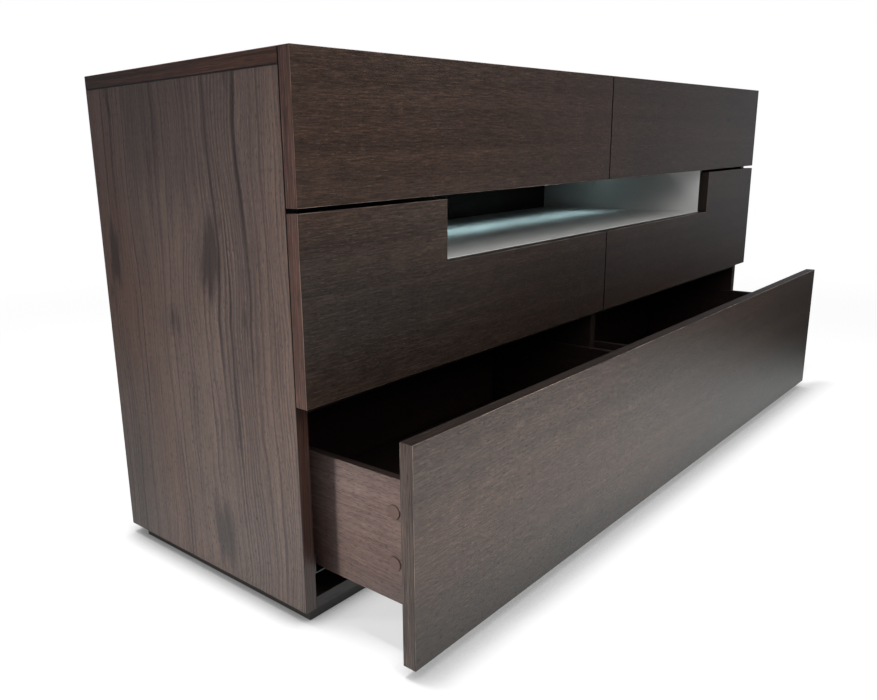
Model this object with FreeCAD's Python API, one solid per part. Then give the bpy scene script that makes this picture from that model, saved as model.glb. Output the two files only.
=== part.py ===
import FreeCAD, Part
import os
from collections import namedtuple

# A low chest of drawers with a lit niche, in millimetres.
# X runs to the right, Y into the depth and Z up; the fronts look along -Y.
# The origin is on the floor, at the centre of the closed chest's plan.

# Overall sizes and fronts
width = 1600.0
carcass_depth = 444.0
base_height = 16.0
top_front_height = 186.0
middle_front_height = 247.0
bottom_front_height = 294.0
front_thickness = 20.0
row_gap = 6.0
seam_gap = 3.0
front_standoff = 1.0
bottom_drawer_opening = 174.0

# Carcass boards
side_thickness = 20.0
top_thickness = 20.0
shelf_thickness = 18.0
partition_thickness = 20.0
back_thickness = 8.0
back_inset = 17.0
back_groove = 8.0
edge_round = 0.8

# Plinth rails, set in from the carcass
plinth_rail_width = 60.0
plinth_front_inset = 4.0
plinth_side_inset = 10.0
plinth_back_inset = 30.0

# Niche between the L-shaped fronts
niche_width = 1010.0
niche_cut_height = 92.0
niche_floor_proud = 1.0
niche_board = 10.0

# Light under the niche's ceiling
led_setback = 237.0
led_channel_width = 17.0
led_channel_height = 8.0
led_channel_wall = 1.2
led_channel_end_play = 1.0
led_tape_width = 10.0
led_tape_thickness = 1.5
driver_length = 160.0
driver_width = 40.0
driver_height = 16.0
driver_round = 2.0
lead_diameter = 3.0
lead_reach = 8.0

# Cable grommet in the back panel
grommet_bore = 22.0
grommet_wall = 4.0
grommet_flange = 4.0
grommet_flange_thickness = 2.0

# Drawer boxes
side_gap = 14.0
drawer_side_thickness = 12.0
drawer_back_thickness = 12.0
drawer_bottom_thickness = 8.0
drawer_bottom_recess = 13.0
drawer_groove = 6.0
drawer_rear_room = 20.0
drawer_lift = 8.0
drawer_head_room = 15.0
bottom_drawer_lift = 39.0
bottom_drawer_head_room = 60.0

# Runners of folded sheet
runner_sheet = 1.5
runner_rear_room = 10.0
rail_flange_height = 30.0
rail_lip_height = 12.0
rail_below_side = 1.5
slide_width = 23.5
slide_height = 5.2
slide_side_room = 2.0
carrier_side_room = 1.0
runner_clearance = 0.3

# Cam locks between fronts and drawer sides
cam_diameter = 15.0
cam_skin = 2.0
cam_setback = 40.0
cam_rise = 15.0
cam_drop = 25.0
bottom_cam_rise = 33.0
bottom_cam_drop = 46.0
cover_diameter = 18.4
cover_thickness = 1.0
cover_recess = 0.3
cover_play = 0.3
bolt_diameter = 6.0
bolt_skin = 8.0

# Dowels between carcass boards
dowel_diameter = 8.0
dowel_skin = 6.0
dowel_in_edge = 18.0
dowel_end_margin = 60.0
dowels_per_joint = 3

# Play of a glued or pressed joint
fit_play = 0.1

# Places worked out from the sizes
half_width = width / 2
depth = front_thickness + front_standoff + carcass_depth
front_face = -depth / 2
front_back = front_face + front_thickness
carcass_front = front_back + front_standoff
carcass_back = depth / 2
back_panel_back = carcass_back - back_inset
back_panel_front = back_panel_back - back_thickness
side_inner = half_width - side_thickness
partition_face = partition_thickness / 2

bottom_front_low = base_height
bottom_front_high = bottom_front_low + bottom_front_height
middle_front_low = bottom_front_high + row_gap
middle_front_high = middle_front_low + middle_front_height
top_front_low = middle_front_high + row_gap
top_front_high = top_front_low + top_front_height
top_low = top_front_high - top_thickness
bottom_panel_high = base_height + shelf_thickness
lower_shelf_low = bottom_front_high + row_gap / 2 - shelf_thickness / 2
lower_shelf_high = lower_shelf_low + shelf_thickness
upper_shelf_low = top_front_low
upper_shelf_high = upper_shelf_low + shelf_thickness
niche_sill = middle_front_high - niche_cut_height
niche_floor_high = niche_sill + niche_floor_proud
niche_floor_low = niche_floor_high - niche_board
niche_half = niche_width / 2
niche_outer = niche_half + niche_board

carcass_y = (carcass_front, carcass_back)
shelf_y = (carcass_front, back_panel_front)
drawer_rear = back_panel_front - drawer_rear_room
runner_rear = drawer_rear - runner_rear_room


def span(a, b):
    """The two limits in rising order."""
    return (min(a, b), max(a, b))


def box(x, y, z):
    """A plain block between the limits given along each axis."""
    corner = FreeCAD.Vector(x[0], y[0], z[0])
    return Part.makeBox(x[1] - x[0], y[1] - y[0], z[1] - z[0], corner)


def board(x, y, z):
    """A block with every edge eased, as a sanded board has."""
    block = box(x, y, z)
    return block.makeFillet(edge_round, block.Edges)


def rod(diameter, start, end):
    """A round bar from one point to another."""
    start = FreeCAD.Vector(*start)
    along = FreeCAD.Vector(*end) - start
    return Part.makeCylinder(diameter / 2, along.Length, start, along)


def moved(shape, y):
    """The shape shifted along the depth."""
    copy = shape.copy()
    copy.translate(FreeCAD.Vector(0, y, 0))
    return copy


def group(solids):
    """Separate solids kept together in one node."""
    return Part.makeCompound(solids)


# Carcass boards
def side_panel(sign):
    panel = board(span(sign * side_inner, sign * half_width), carcass_y, (base_height, top_low))
    groove = box(
        span(sign * side_inner, sign * (side_inner + back_groove)),
        (back_panel_front, back_panel_back),
        (base_height, top_low),
    )
    return panel.cut(groove)


def top_panel():
    panel = board((-half_width, half_width), carcass_y, (top_low, top_front_high))
    reach = side_inner + back_groove
    groove = box((-reach, reach), (back_panel_front, back_panel_back), (top_low, top_low + back_groove))
    return panel.cut(groove)


def bottom_panel():
    panel = board((-side_inner, side_inner), carcass_y, (base_height, bottom_panel_high))
    groove = box(
        (-side_inner, side_inner),
        (back_panel_front, back_panel_back),
        (bottom_panel_high - back_groove, bottom_panel_high),
    )
    return panel.cut(groove)


def shelf(low):
    return board((-side_inner, side_inner), shelf_y, (low, low + shelf_thickness))


def partition(low, high):
    return board((-partition_face, partition_face), shelf_y, (low, high))


def plinth_frame():
    """Front, back, side and centre rails laid flat on the floor."""
    front = carcass_front + plinth_front_inset
    back = carcass_back - plinth_back_inset
    outer = half_width - plinth_side_inset
    z = (0, base_height)
    between = (front + plinth_rail_width, back - plinth_rail_width)
    rails = [
        board((-outer, outer), (front, between[0]), z),
        board((-outer, outer), (between[1], back), z),
    ]
    for left in (-outer, -plinth_rail_width / 2, outer - plinth_rail_width):
        rails.append(board((left, left + plinth_rail_width), between, z))
    return group(rails)


def dowel_rows():
    """Dowels along the depth of each joint, as end points of their centre lines."""
    first = carcass_front + dowel_end_margin
    last = back_panel_front - dowel_end_margin
    step = (last - first) / (dowels_per_joint - 1)
    depths = [first + step * i for i in range(dowels_per_joint)]
    side_blind = half_width - dowel_skin
    levels = (
        base_height + shelf_thickness / 2,
        lower_shelf_low + shelf_thickness / 2,
        upper_shelf_low + shelf_thickness / 2,
    )
    top_blind = top_front_high - dowel_skin
    side_middle = side_inner + side_thickness / 2
    uprights = [
        (0, base_height + dowel_skin, bottom_panel_high + dowel_in_edge),
        (0, lower_shelf_low - dowel_in_edge, lower_shelf_high + dowel_in_edge),
        (0, upper_shelf_low + dowel_skin, upper_shelf_high + dowel_in_edge),
        (0, top_low - dowel_in_edge, top_blind),
        (-side_middle, top_low - dowel_in_edge, top_blind),
        (side_middle, top_low - dowel_in_edge, top_blind),
    ]
    lines = []
    for y in depths:
        for z in levels:
            for sign in (-1, 1):
                lines.append(((sign * (side_inner - dowel_in_edge), y, z), (sign * side_blind, y, z)))
        for x, low, high in uprights:
            lines.append(((x, y, low), (x, y, high)))
    return lines


def carcass():
    nodes = {
        "top_panel": top_panel(),
        "left_side_panel": side_panel(-1),
        "right_side_panel": side_panel(1),
        "bottom_panel": bottom_panel(),
        "upper_shelf": shelf(upper_shelf_low),
        "lower_shelf": shelf(lower_shelf_low),
        "upper_partition": partition(upper_shelf_high, top_low),
        "middle_partition": partition(lower_shelf_high, niche_floor_low),
        "lower_partition": partition(bottom_panel_high, lower_shelf_low),
    }
    lines = dowel_rows()
    holes = group([rod(dowel_diameter + 2 * fit_play, start, end) for start, end in lines])
    for name, panel in nodes.items():
        nodes[name] = panel.cut(holes)
    nodes["carcass_dowels"] = group([rod(dowel_diameter, start, end) for start, end in lines])
    nodes["plinth_frame"] = plinth_frame()
    return nodes


# Back panel with its cable grommet
grommet_x = -(side_inner + niche_outer) / 2
grommet_z = (niche_floor_high + upper_shelf_low) / 2
grommet_outer = grommet_bore + 2 * grommet_wall


def along_depth(diameter, start, end):
    return rod(diameter, (grommet_x, start, grommet_z), (grommet_x, end, grommet_z))


def back_panel():
    reach = back_groove - fit_play
    panel = box(
        (-side_inner - reach, side_inner + reach),
        (back_panel_front, back_panel_back),
        (bottom_panel_high - reach, top_low + reach),
    )
    hole = along_depth(grommet_outer + 2 * fit_play, back_panel_front, back_panel_back)
    return panel.cut(hole)


def cable_grommet():
    rear = back_panel_back + grommet_flange_thickness
    sleeve = along_depth(grommet_outer, back_panel_front, rear)
    flange = along_depth(grommet_outer + 2 * grommet_flange, back_panel_back, rear)
    bore = along_depth(grommet_bore, back_panel_front, rear)
    return sleeve.fuse(flange).cut(bore).removeSplitter()


# Niche and its light
led_y = carcass_front + led_setback
led_half = niche_half - led_channel_end_play
channel_low = upper_shelf_low - led_channel_height
diffuser_high = channel_low + led_channel_wall
tape_high = upper_shelf_low - led_channel_wall
tape_low = tape_high - led_tape_thickness
lead_z = (diffuser_high + tape_low) / 2
lead_line = ((-niche_outer, led_y, lead_z), (-niche_half, led_y, lead_z))


def led_strip(strip_width, low, high):
    """A length of the light's section, from one niche wall to the other."""
    return box((-led_half, led_half), (led_y - strip_width / 2, led_y + strip_width / 2), (low, high))


def niche():
    floor = board((-niche_outer, niche_outer), shelf_y, (niche_floor_low, niche_floor_high))
    wall_z = (niche_floor_high, upper_shelf_low)
    walls = [board(span(s * niche_half, s * niche_outer), shelf_y, wall_z) for s in (-1, 1)]
    walls[0] = walls[0].cut(rod(lead_diameter + 2 * fit_play, *lead_line))
    lens_width = led_channel_width - 2 * led_channel_wall
    channel = led_strip(led_channel_width, channel_low, upper_shelf_low)
    return {
        "niche_floor": floor,
        "niche_side_walls": group(walls),
        "led_channel": channel.cut(led_strip(lens_width, channel_low, tape_high)),
        "led_tape": led_strip(led_tape_width, tape_low, tape_high),
        "led_diffuser": led_strip(lens_width, channel_low, diffuser_high),
        "led_driver": led_driver(),
    }


def led_driver():
    """Power supply beside the niche, with its lead into the LED channel."""
    case = box(
        (grommet_x - driver_width / 2, grommet_x + driver_width / 2),
        (led_y - driver_length / 2, led_y + driver_length / 2),
        (upper_shelf_low - driver_height, upper_shelf_low),
    )
    case = case.makeFillet(driver_round, case.Edges)
    start = (grommet_x + driver_width / 2, led_y, lead_z)
    lead = rod(lead_diameter, start, (-led_half + lead_reach, led_y, lead_z))
    return group([case, lead])


# Drawers
Row = namedtuple("Row", "front_low front_high side_low side_high cams opening")


def drawer_row(front_low, front_high, side_low, side_high, rise, drop, opening):
    """Heights shared by a row's drawers; the cam locks keep off the drawer bottom and the top edge."""
    cams = (side_low + drawer_bottom_recess + drawer_bottom_thickness + rise, side_high - drop)
    return Row(front_low, front_high, side_low, side_high, cams, opening)


top_row = drawer_row(
    top_front_low,
    top_front_high,
    upper_shelf_high + drawer_lift,
    top_low - drawer_head_room,
    cam_rise,
    cam_drop,
    0.0,
)
middle_row = drawer_row(
    middle_front_low,
    middle_front_high,
    lower_shelf_high + drawer_lift,
    niche_floor_low - drawer_head_room,
    cam_rise,
    cam_drop,
    0.0,
)
bottom_row = drawer_row(
    bottom_front_low,
    bottom_front_high,
    bottom_panel_high + bottom_drawer_lift,
    lower_shelf_low - bottom_drawer_head_room,
    bottom_cam_rise,
    bottom_cam_drop,
    bottom_drawer_opening,
)


def folded_sheet(wall, into, base, y, plates):
    """Sheet plates joined along the depth, placed by their distance from a wall and above a level."""
    parts = []
    for out, up in plates:
        x = span(wall + into * out[0], wall + into * out[1])
        parts.append(box(x, y, (base + up[0], base + up[1])))
    return parts[0].fuse(parts[1:]).removeSplitter()


def channel_plates(first, last, web, legs):
    """A web with a leg at each of its edges."""
    return [
        ((first, last), web),
        ((first, first + runner_sheet), legs),
        ((last - runner_sheet, last), legs),
    ]


def runner(wall, into, row):
    """Rail on the carcass, slide on the rail and carrier under the drawer, all at the closed place."""
    slide_first = side_gap + drawer_side_thickness + slide_side_room
    slide_last = slide_first + slide_width
    lip_first = slide_last + slide_side_room
    lip_last = lip_first + runner_sheet
    rail_web = (-rail_below_side - runner_sheet, -rail_below_side)
    rail_plates = [
        ((0, runner_sheet), (rail_web[0], rail_web[0] + rail_flange_height)),
        ((0, lip_last), rail_web),
        ((lip_first, lip_last), (rail_web[0], rail_web[0] + rail_lip_height)),
    ]
    slide_low = rail_web[1] + runner_clearance
    slide_web = (slide_low, slide_low + runner_sheet)
    slide_plates = channel_plates(slide_first, slide_last, slide_web, (slide_low, slide_low + slide_height))
    carrier_inset = runner_sheet + carrier_side_room
    carrier_web = (drawer_bottom_recess - runner_sheet, drawer_bottom_recess)
    carrier_plates = channel_plates(
        slide_first + carrier_inset,
        slide_last - carrier_inset,
        carrier_web,
        (slide_web[1] + runner_clearance, drawer_bottom_recess),
    )
    rail_y = (carcass_front, runner_rear)
    carrier_y = (front_back, runner_rear)
    return (
        folded_sheet(wall, into, row.side_low, rail_y, rail_plates),
        folded_sheet(wall, into, row.side_low, rail_y, slide_plates),
        folded_sheet(wall, into, row.side_low, carrier_y, carrier_plates),
    )


def cam_lock(face, into, z):
    """Cover, cam and bolt of one lock, and the holes that they sit in."""
    y = front_back + cam_setback
    seat = face + into * (cover_recess + cover_thickness)
    blind = face + into * (drawer_side_thickness - cam_skin)
    middle = face + into * drawer_side_thickness / 2
    bolt_end = front_back - front_thickness + bolt_skin
    cam_edge = y - cam_diameter / 2 - fit_play
    solids = [
        rod(cover_diameter, (face + into * cover_recess, y, z), (seat, y, z)),
        rod(cam_diameter, (seat, y, z), (blind, y, z)),
        rod(bolt_diameter, (middle, cam_edge, z), (middle, bolt_end, z)),
    ]
    holes = [
        rod(cover_diameter + 2 * cover_play, (face, y, z), (seat, y, z)),
        rod(cam_diameter + 2 * fit_play, (seat, y, z), (blind, y, z)),
        rod(bolt_diameter + 2 * fit_play, (middle, y, z), (middle, bolt_end, z)),
    ]
    return solids, holes


def drawer_side(wall, into, row):
    """One side board with its cam locks and runner."""
    face = wall + into * side_gap
    inner = face + into * drawer_side_thickness
    bottom_low = row.side_low + drawer_bottom_recess
    panel = board(span(face, inner), (front_back, drawer_rear), (row.side_low, row.side_high))
    groove = box(
        span(inner - into * drawer_groove, inner),
        (front_back, drawer_rear),
        (bottom_low, bottom_low + drawer_bottom_thickness),
    )
    locks = []
    holes = []
    for z in row.cams:
        solids, room = cam_lock(face, into, z)
        locks += solids
        holes += room
    rail, slide, carrier = runner(wall, into, row)
    return {
        "panel": panel.cut([groove] + holes),
        "inner": inner,
        "locks": locks,
        "holes": holes,
        "rail": rail,
        "slide": slide,
        "carrier": carrier,
    }


def drawer_box(left_wall, right_wall, row):
    """Sides, back and bottom of one box, closed, and the cuts that it makes in its front."""
    left = drawer_side(left_wall, 1, row)
    right = drawer_side(right_wall, -1, row)
    bottom_low = row.side_low + drawer_bottom_recess
    bottom_z = (bottom_low, bottom_low + drawer_bottom_thickness)
    reach = drawer_groove - fit_play
    bottom_x = (left["inner"] - reach, right["inner"] + reach)
    groove = box(bottom_x, (front_back - drawer_groove, front_back), bottom_z)
    return {
        "left_side": left["panel"],
        "right_side": right["panel"],
        "back": board(
            (left["inner"], right["inner"]),
            (drawer_rear - drawer_back_thickness, drawer_rear),
            (bottom_z[1], row.side_high),
        ),
        "bottom": box(bottom_x, (front_back - reach, drawer_rear), bottom_z),
        "locks": left["locks"] + right["locks"],
        "rails": [left["rail"], right["rail"]],
        "slides": [left["slide"], right["slide"]],
        "carriers": [left["carrier"], right["carrier"]],
        "front_cuts": [groove] + left["holes"] + right["holes"],
    }


def plain_front(x, row):
    return board(x, (front_face, front_back), (row.front_low, row.front_high))


def notched_front(x, row):
    """An L-shaped front, cut away beside the niche."""
    block = box(x, (front_face, front_back), (row.front_low, row.front_high))
    notch = box((-niche_half, niche_half), (front_face, front_back), (niche_sill, row.front_high))
    front = block.cut(notch)
    return front.makeFillet(edge_round, front.Edges)


def half_drawers():
    """The four drawers of half the width, closed, and their rails."""
    nodes = {}
    rails = []
    halves = {
        "left": ((-half_width, -seam_gap / 2), (-side_inner, -partition_face)),
        "right": ((seam_gap / 2, half_width), (partition_face, side_inner)),
    }
    rows = {"top": (top_row, plain_front), "middle": (middle_row, notched_front)}
    for level, (row, make_front) in rows.items():
        for half, (front_x, walls) in halves.items():
            drawer = level + "_" + half + "_drawer"
            pieces = drawer_box(*walls, row)
            nodes[drawer + "_front"] = make_front(front_x, row).cut(pieces["front_cuts"])
            for piece in ("left_side", "right_side", "back", "bottom"):
                nodes[drawer + "_" + piece] = pieces[piece]
            nodes[drawer + "_cam_locks"] = group(pieces["locks"])
            nodes[drawer + "_runner_slides"] = group(pieces["slides"])
            nodes[drawer + "_runner_carriers"] = group(pieces["carriers"])
            rails += pieces["rails"]
    return nodes, rails


def long_drawer():
    """The bottom drawer: one front with a box on each side of the partition, pulled out as it stands."""
    row = bottom_row
    boxes = [
        drawer_box(-side_inner, -partition_face, row),
        drawer_box(partition_face, side_inner, row),
    ]
    cuts = [cut for pieces in boxes for cut in pieces["front_cuts"]]
    closed = {
        "front": plain_front((-half_width, half_width), row).cut(cuts),
        "sides": group([pieces[side] for pieces in boxes for side in ("left_side", "right_side")]),
        "backs": group([pieces["back"] for pieces in boxes]),
        "bottoms": group([pieces["bottom"] for pieces in boxes]),
        "cam_locks": group([lock for pieces in boxes for lock in pieces["locks"]]),
        "runner_carriers": group([carrier for pieces in boxes for carrier in pieces["carriers"]]),
    }
    nodes = {"bottom_drawer_" + name: moved(shape, -row.opening) for name, shape in closed.items()}
    slides = group([slide for pieces in boxes for slide in pieces["slides"]])
    nodes["bottom_drawer_runner_slides"] = moved(slides, -row.opening / 2)
    rails = [rail for pieces in boxes for rail in pieces["rails"]]
    return nodes, rails


# Every node of the chest, each in a file of its own
nodes = carcass()
nodes["back_panel"] = back_panel()
nodes["cable_grommet"] = cable_grommet()
nodes.update(niche())
upper_nodes, upper_rails = half_drawers()
lower_nodes, lower_rails = long_drawer()
nodes.update(upper_nodes)
nodes.update(lower_nodes)
nodes["runner_rails"] = group(upper_rails + lower_rails)

for name, shape in nodes.items():
    shape.exportStep("parts/" + name + ".step")
print(len(nodes), "nodes,", sum(len(shape.Solids) for shape in nodes.values()), "solids")
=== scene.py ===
import math
from collections import namedtuple

import bpy
from mathutils import Matrix, Vector


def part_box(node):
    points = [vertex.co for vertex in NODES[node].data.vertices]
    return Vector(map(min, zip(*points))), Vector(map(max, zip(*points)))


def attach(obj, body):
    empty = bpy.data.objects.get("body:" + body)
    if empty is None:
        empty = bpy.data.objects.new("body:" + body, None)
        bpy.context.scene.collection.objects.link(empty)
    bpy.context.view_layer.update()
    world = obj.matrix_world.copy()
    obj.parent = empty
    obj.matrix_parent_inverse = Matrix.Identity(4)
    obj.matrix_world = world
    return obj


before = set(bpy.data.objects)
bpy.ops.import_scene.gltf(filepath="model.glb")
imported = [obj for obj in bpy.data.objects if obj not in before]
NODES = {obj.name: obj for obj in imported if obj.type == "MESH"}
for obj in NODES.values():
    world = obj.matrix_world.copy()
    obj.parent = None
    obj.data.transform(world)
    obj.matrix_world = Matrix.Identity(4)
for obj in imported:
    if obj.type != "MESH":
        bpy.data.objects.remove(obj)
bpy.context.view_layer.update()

# The photograph's camera: metres, degrees and pixels, and the sensor's width in millimetres
PHOTO_WIDTH = 877
PHOTO_HEIGHT = 700
CAMERA_PLACE = Vector((-1.4522, -0.9545, 0.6345))
CAMERA_AZIMUTH = 46.979
CAMERA_TILT = 14.390
CAMERA_ROLL = -1.619
FOCAL_PIXELS = 801.02
OPTICAL_CENTRE = (370.55, 355.94)
SENSOR_WIDTH = 36.0

# The drawers, as their bodies and nodes are named
DRAWERS = (
    "top_left_drawer",
    "top_right_drawer",
    "middle_left_drawer",
    "middle_right_drawer",
    "bottom_drawer",
)

# Cover caps of the cam locks, in metres
CAM_RADIUS = 0.0092
CAP_RADIUS = 0.0096
CAP_HEIGHT = 0.0012
CAP_ROUNDING = CAP_HEIGHT * 0.6
CAP_RIM = CAP_RADIUS * 0.14
CAP_RIM_DROP = CAP_HEIGHT * 0.10
CAP_DISH = CAP_RADIUS * 0.30
CAP_DISH_DROP = CAP_HEIGHT * 0.12

# Soft bumpers behind the fronts, in metres, and their place as a share of half the partition's thickness
BUMPER_RADIUS = 0.0040
BUMPER_HEIGHT = 0.0008
BUMPER_ROUNDING = BUMPER_HEIGHT * 0.8
BUMPER_INSET = 0.030
BUMPER_ON_PARTITION = 0.6

# Screws of the runner rails, in metres
SCREW_RADIUS = 0.0036
SCREW_HEIGHT = 0.0018
SCREW_ROUNDING = SCREW_HEIGHT * 0.5
RECESS_BLADE = (SCREW_RADIUS * 1.15, SCREW_RADIUS * 0.24, SCREW_HEIGHT * 0.9)
RAIL_SHEET = 0.0015
RAIL_SCREW_RISE = 0.017
RAIL_SCREW_INSET = 0.040

# Shaping of the fittings: sides of a blank, steps and profile of a rounded rim, the angle in degrees under
# which an edge is smooth, how far a face's normal rises where it looks up or lies flat, and a quarter turn
BLANK_SIDES = 40
RIM_STEPS = 3
BUMPER_STEPS = 4
RIM_PROFILE = 0.5
SMOOTH_ANGLE = 35.0
LOOKS_UP = 0.9
LIES_FLAT = 0.99
QUARTER_TURN = math.pi / 2

# Stage: sizes in metres, tints, and fades of the light on the floor and the walls. A fade has the two ends of
# its way, and the strength at each where it isn't nought and one.
FLOOR_SIZE = 30.0
POOL_MIDDLE = (-0.6, -0.1, 0.0)
POOL_FADE = (1.25, 2.05, 1.0, 0.05)
POOL_BACK_FADE = (0.05, 0.45, 1.0, 0.65)
POOL_TINT = (0.955, 1.0, 1.0, 1.0)
DIAGONAL = math.sqrt(0.5)
SHADOW_FADE = (1.8, 3.4, 0.42, 0.0)
PAPER_FADE = (1.8, 3.4, 0.65, 1.0)
CONTACT_REACH = 0.05
CONTACT_FADE = (0.30, 0.95, 0.25, 1.0)
BOUNCE_FADE = (0.2, 0.6, 0.20, 0.86)
ROOM_RADIUS = 4.0
ROOM_HEIGHT = 5.0
ROOM_SIDES = 64
ROOM_TINT = (0.88, 0.93, 1.0, 1.0)
ROOM_BACK_FADE = (-2.5, -0.8, 0.08, 1.0)
ROOM_RIGHT_FADE = (-1.5, 1.5, 0.28, 0.55)
ROOM_CORNER_FADE = (3.4, 4.8, 1.0, 0.25)
WHITE = (1.0, 1.0, 1.0, 1.0)

# Lamps: place, aim and size in metres, power in watts, spread in degrees, and shape
FULL_SPREAD = 180.0
Lamp = namedtuple("Lamp", "name place aim size power spread shape", defaults=(FULL_SPREAD, "RECTANGLE"))
STUDIO_LAMPS = (
    Lamp("softbox", (-0.9, 0.45, 6.0), (-0.9, 0.45, 0.0), (1.0, 1.0), 300.0),
    Lamp("window", (-2.4, 1.4, 0.48), (-0.8, -0.30, 0.27), (0.30, 0.9), 2.0, 25.0),
    Lamp("card", (-0.5, -0.705, 0.015), (-0.5, -0.705, 1.0), (1.35, 0.17), 5.6, shape="ELLIPSE"),
    Lamp("fill", (-0.72, -1.9, 1.5), (0.0, -0.2, 0.5), (0.8, 0.8), 8.0),
    Lamp("high_fill", (-0.8, -1.5, 2.3), (-0.1, -0.2, 0.5), (0.8, 1.4), 20.0),
)

# Strength of the surroundings' light on the chest, and the rays that see them white
AMBIENT = 0.06
SEEN_RAYS = ("Is Camera Ray", "Is Glossy Ray", "Is Transmission Ray")

# The lit strip: the ends of its two runs as shares of half the lens, with their watts, its drop under the
# lens and the pitch of its chips in metres, and its spread in degrees; the far run is a little weaker
Run = namedtuple("Run", "near far power")
STRIP_RUNS = (Run(-0.93, -0.04, 0.106), Run(-0.04, 0.83, 0.083))
STRIP_DROP = 0.001
STRIP_SPREAD = 100.0
STRIP_COLOUR = (0.62, 0.91, 1.0)
CHIP_PITCH = 0.0167

# Grain of each board: the axis that a face looks along, then the axes along and across its grain; the main
# face comes first
UPRIGHT_GRAIN = {"X": ("Z", "Y"), "Y": ("Z", "X"), "Z": ("Y", "X")}
TOP_GRAIN = {"Z": ("X", "Y"), "X": ("Y", "Z"), "Y": ("X", "Z")}
FRONT_GRAIN = {"Y": ("X", "Z"), "X": ("Z", "Y"), "Z": ("X", "Y")}
DRAWER_SIDE_GRAIN = {"X": ("Y", "Z"), "Z": ("Y", "X"), "Y": ("Z", "X")}

# Share of its rate at which the grain runs along the other faces, and how square to an axis a face has to be
EDGE_DRAW = 0.25
SQUARE_FACE = 0.7

# Layers of the oak's pattern: rates along and across the grain per metre, the noise's seed, detail and
# roughness, and the fade that it goes through
Layer = namedtuple("Layer", "along across seed detail roughness fade", defaults=(2.0, 0.5, None))
SWAY = Layer(1.3, 3.0, 0.0)
WANDER = Layer(7.0, 25.0, 3.0)
RING_SPACING = Layer(0.0, 11.0, 7.0)
RING_VIGOUR = Layer(1.1, 34.0, 1.0, fade=(-0.14, 0.16))
HEAVY_RINGS = Layer(1.0, 80.0, 6.0, detail=1.0, fade=(0.12, 0.22))
STREAKS = Layer(30.0, 400.0, 2.0, detail=6.0, roughness=0.85)
PORES = Layer(110.0, 820.0, 5.0, fade=(0.06, 0.17))
FLECKS = Layer(90.0, 700.0, 11.0, fade=(0.09, 0.20))
SMOKE = Layer(9.0, 30.0, 4.0, detail=3.0, fade=(0.13, 0.28))
CLOUD = Layer(1.6, 6.0, 9.0, detail=3.0)
BANDS = Layer(0.8, 45.0, 8.0)
DRIFT = Layer(1.0, 3.5, 13.0, fade=(-0.16, 0.16))
RAGGED = Layer(11.0, 95.0, 15.0, detail=3.0)
# Breaks in the lighter line on the worn arrises, which is partly wear and partly a painted highlight
WEAR_HIGHLIGHT_BREAKS = Layer(16.0, 16.0, 17.0, detail=4.0, fade=(-0.08, 0.14, 0.10, 0.90))
NOISE_MIDDLE = 0.5

# Growth rings: how far the grain bends in metres for a full figure and at least, rings per metre, how much
# they crowd, the late wood's part of a ring, and how much lower the streaks' rate is along a full figure
SWAY_BEND = 0.09
SWAY_LEAST = 0.004
WANDER_BEND = 0.011
WANDER_LEAST = 0.0015
RINGS_PER_METRE = 120.0
RING_CROWDING = 11.0
LATE_FADE = (0.35, 0.95)
STREAK_DRAW = 16.0

# Weights of the layers in the oak's shade, its middle, and its lift for a full figure
LATE_WEIGHT = -0.22
HEAVY_WEIGHT = -0.34
SMOKE_WEIGHT = -0.30
PORE_WEIGHT = -0.32
FLECK_WEIGHT = 0.30
STREAK_WEIGHT = 2.0
CLOUD_WEIGHT = 0.45
BAND_WEIGHT = 0.40
MIDDLE_SHADE = 0.51
FIGURE_LIFT = 0.13

# Weights of the layers in the oak's roughness and in its relief
STREAK_ROUGHNESS = 0.12
PORE_ROUGHNESS = 0.10
STREAK_RISE = 1.0
PORE_RISE = -1.0
LATE_RISE = -0.4

# Arrises and joints: fades by a normal's squareness and lean, and the reach in metres within which shade is
# painted into joints and corners
ARRIS_FADE = (0.995, 0.93)
LEAN_FADE = (0.15, 0.35)
JOINT_REACH = 0.006
JOINT_FADE = (0.55, 0.95)
NEAR_SAMPLES = 6

# How square a wall's covered edge, which gets painted shade, is to its axis, and rates of metal's fine lines
# along and across it
COVERED_EDGE = 0.5
LINES_ALONG = 6.0
LINES_ACROSS = 900.0

# Sockets of a Mix node, which has a pair for each kind of value, and the start of a ramp's new stop
MIX_SHARE = 0
MIX_NUMBERS = (2, 3)
MIX_COLOURS = (6, 7)
MIXED_COLOUR = 2
NEW_STOP = 0.5

# Stain tones of the oak, some of them darkened as painted shade: places on the ramp and their colours, dark
# to light
SIDE_TONES = (
    (0.0, (0.016, 0.010, 0.009)),
    (0.45, (0.080, 0.049, 0.041)),
    (1.0, (0.234, 0.146, 0.115)),
)
FRONT_TONES = (
    (0.0, (0.0115, 0.0074, 0.006)),
    (0.5, (0.050, 0.032, 0.0245)),
    (1.0, (0.138, 0.089, 0.067)),
)
LIPPING_TONES = (
    (0.20, (0.016, 0.009, 0.007)),
    (0.5, (0.078, 0.030, 0.020)),
    (0.85, (0.205, 0.102, 0.074)),
)
SIDE_EDGE_TONES = (
    (0.20, (0.010, 0.006, 0.0045)),
    (0.5, (0.044, 0.018, 0.0125)),
    (0.85, (0.120, 0.062, 0.046)),
)
LONG_LIPPING_TONES = (
    (0.25, (0.008, 0.007, 0.006)),
    (0.5, (0.056, 0.036, 0.029)),
    (0.85, (0.150, 0.112, 0.092)),
)
TOP_EDGE_TONES = (
    (0.15, (0.008, 0.002, 0.001)),
    (0.5, (0.031, 0.0115, 0.0055)),
    (0.95, (0.165, 0.070, 0.040)),
)
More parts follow.
